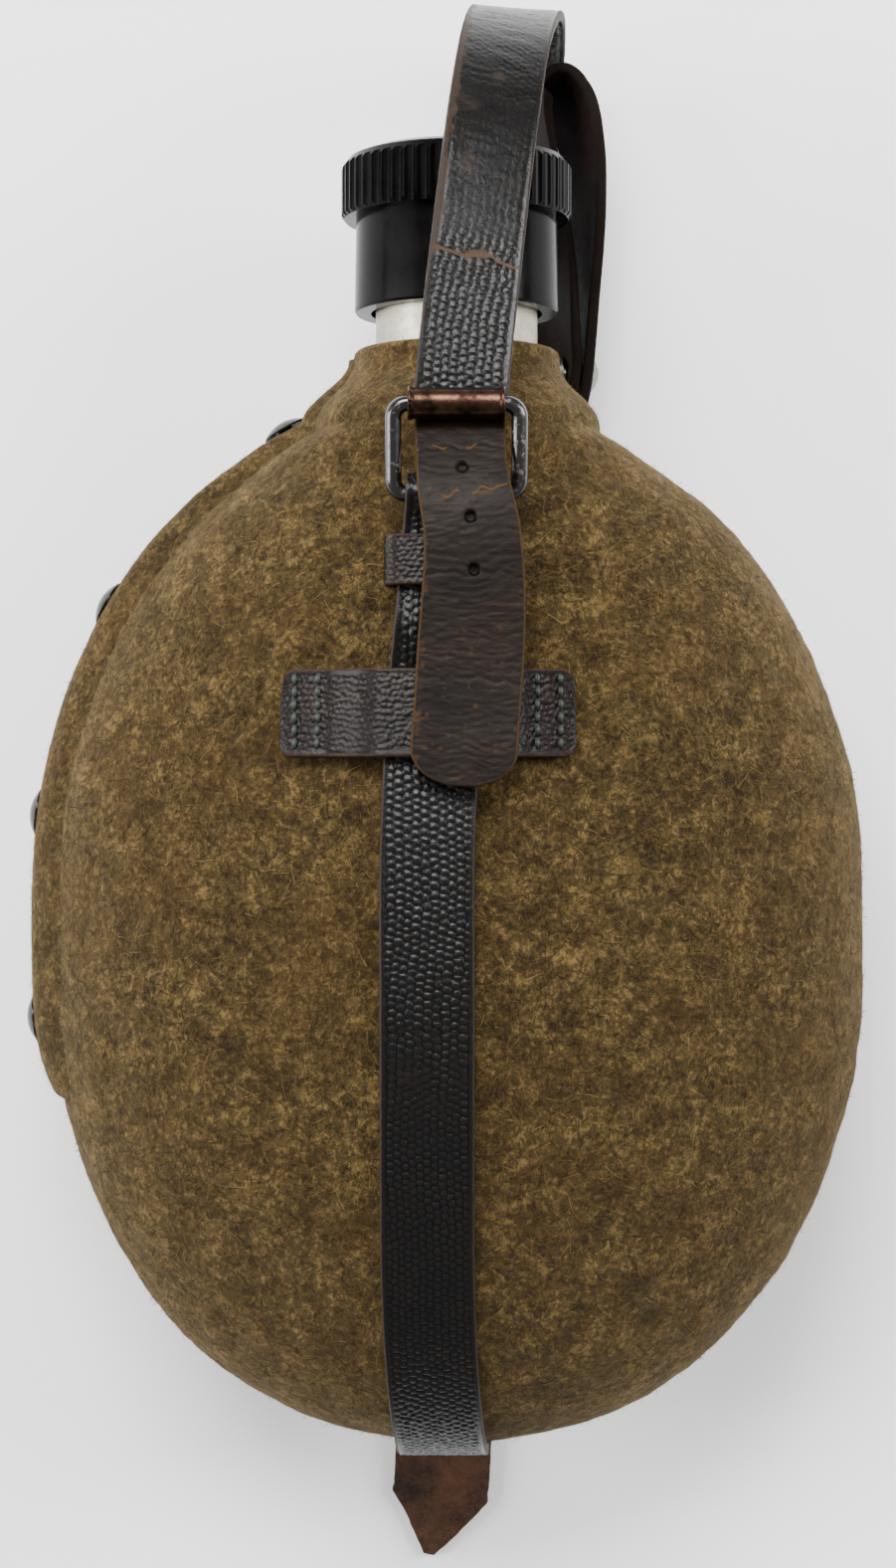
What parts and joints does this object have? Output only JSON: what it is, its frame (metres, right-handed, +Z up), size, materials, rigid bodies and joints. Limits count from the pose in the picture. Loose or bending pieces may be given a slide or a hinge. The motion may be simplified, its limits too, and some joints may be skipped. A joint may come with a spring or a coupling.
{
  "type": "canteen",
  "caption": "Felt-covered field canteen with a screw cap, a leather strap with a roller buckle, a side flap on press studs and a leather hanger loop.",
  "frame": {"origin": "on the rest plane, in the outer face of the back loop, under the body's widest section and on the neck's axis", "axes": "+Y along the bottle towards the neck, +Z up out of the front of the lying canteen, +X to the right seen from the front"},
  "size_m": [0.1656, 0.3228, 0.094],
  "materials": {
    "bottle": "worn satin",
    "felt": "thick wool felt",
    "felt_flap": "thick wool felt",
    "bakelite": "moulded, slightly worn",
    "rivet_metal": "dull, tarnished",
    "seal_metal": "satin",
    "seal": "aged",
    "press_stud": "worn black paint",
    "press_stud_inner": "tarnished",
    "strap_leather": "grained, dark, worn",
    "tail_leather": "creased, waxed",
    "loop_leather": "grained, worn",
    "hanging_leather": "suede flesh side",
    "hanger_leather": "smooth, dark",
    "thread": "waxed linen",
    "buckle_wire": "worn black enamel",
    "roller_metal": "browned and worn",
    "steel": "dull",
    "hanger_rivet_metal": "greenish grey, dull"
  },
  "bodies": {
    "canteen": {"bottle": "bottle", "felt_cover": "felt", "press_stud_posts": "press_stud_inner", "front_loop": "loop_leather", "front_loop_stitches": "thread", "back_loop": "loop_leather", "back_loop_stitches": "thread", "main_strap": "strap_leather", "strap_fold_stitches": "thread", "back_strap": "hanging_leather", "back_strap_rivets": "steel"},
    "cap_washer": {"cap_seal": "seal"},
    "cap": {"cap_shell": "bakelite", "cap_rivet": "rivet_metal", "seal_retainer": "seal_metal"},
    "flap": {"cover_flap": "felt_flap", "press_stud_caps": "press_stud", "press_stud_sockets": "press_stud_inner"},
    "tail": {"strap_tail": "tail_leather"},
    "buckle": {"buckle_frame": "buckle_wire"},
    "roller": {"buckle_roller": "roller_metal"},
    "prong": {"buckle_prong": "steel"},
    "keeper": {"keeper_loop": "loop_leather"},
    "hanger": {"hanger_loop": "hanger_leather", "hanger_rivet": "hanger_rivet_metal"},
    "strap_tip": {"back_strap_tip": "hanging_leather"}
  },
  "joints": [
    {"name": "cap_lift", "type": "slide", "parent": "canteen", "child": "cap_washer", "axis": [0, 1, 0], "range_m": [0, 0.0075]},
    {"name": "cap_turn", "type": "hinge", "parent": "cap_washer", "child": "cap", "pos_m": [0, 0.14, 0.044], "axis": [0, 1, 0], "range_deg": [0, 900]},
    {"name": "flap_open", "type": "hinge", "parent": "canteen", "child": "flap", "pos_m": [-0.04485, 0.04077, 0.057], "axis": [0.384, 0.9234, 0], "range_deg": [0, 30]},
    {"name": "tail_lift", "type": "hinge", "parent": "canteen", "child": "tail", "pos_m": [0.0005, 0.09765, 0.08698], "axis": [-1, 0, 0], "range_deg": [0, 45]},
    {"name": "buckle_tilt", "type": "hinge", "parent": "canteen", "child": "buckle", "pos_m": [-0.00015, 0.0813, 0.0841], "axis": [1, 0, 0], "range_deg": [0, 12]},
    {"name": "roller_spin", "type": "hinge", "parent": "buckle", "child": "roller", "pos_m": [-0.00015, 0.09765, 0.08698], "axis": [1, 0, 0], "continuous": true},
    {"name": "prong_swing", "type": "hinge", "parent": "canteen", "child": "prong", "pos_m": [-0.00015, 0.0813, 0.0841], "axis": [-1, 0, 0], "range_deg": [0, 15]},
    {"name": "keeper_slide", "type": "slide", "parent": "canteen", "child": "keeper", "axis": [0, -0.9929, 0.1191], "range_m": [0, 0.0012]},
    {"name": "hanger_swing", "type": "hinge", "parent": "canteen", "child": "hanger", "pos_m": [0.0249, 0.1037, 0.0104], "axis": [-0.0698, 0, -0.9976], "range_deg": [0, 16]},
    {"name": "tip_bend", "type": "hinge", "parent": "canteen", "child": "strap_tip", "pos_m": [-0.0029, -0.1187, 0.00185], "axis": [-1, 0, 0], "range_deg": [0, 22]}
  ],
  "couplings": [
    {"joint": "cap_lift", "follows": "cap_turn", "m_per_rad": 0.00047746}
  ]
}
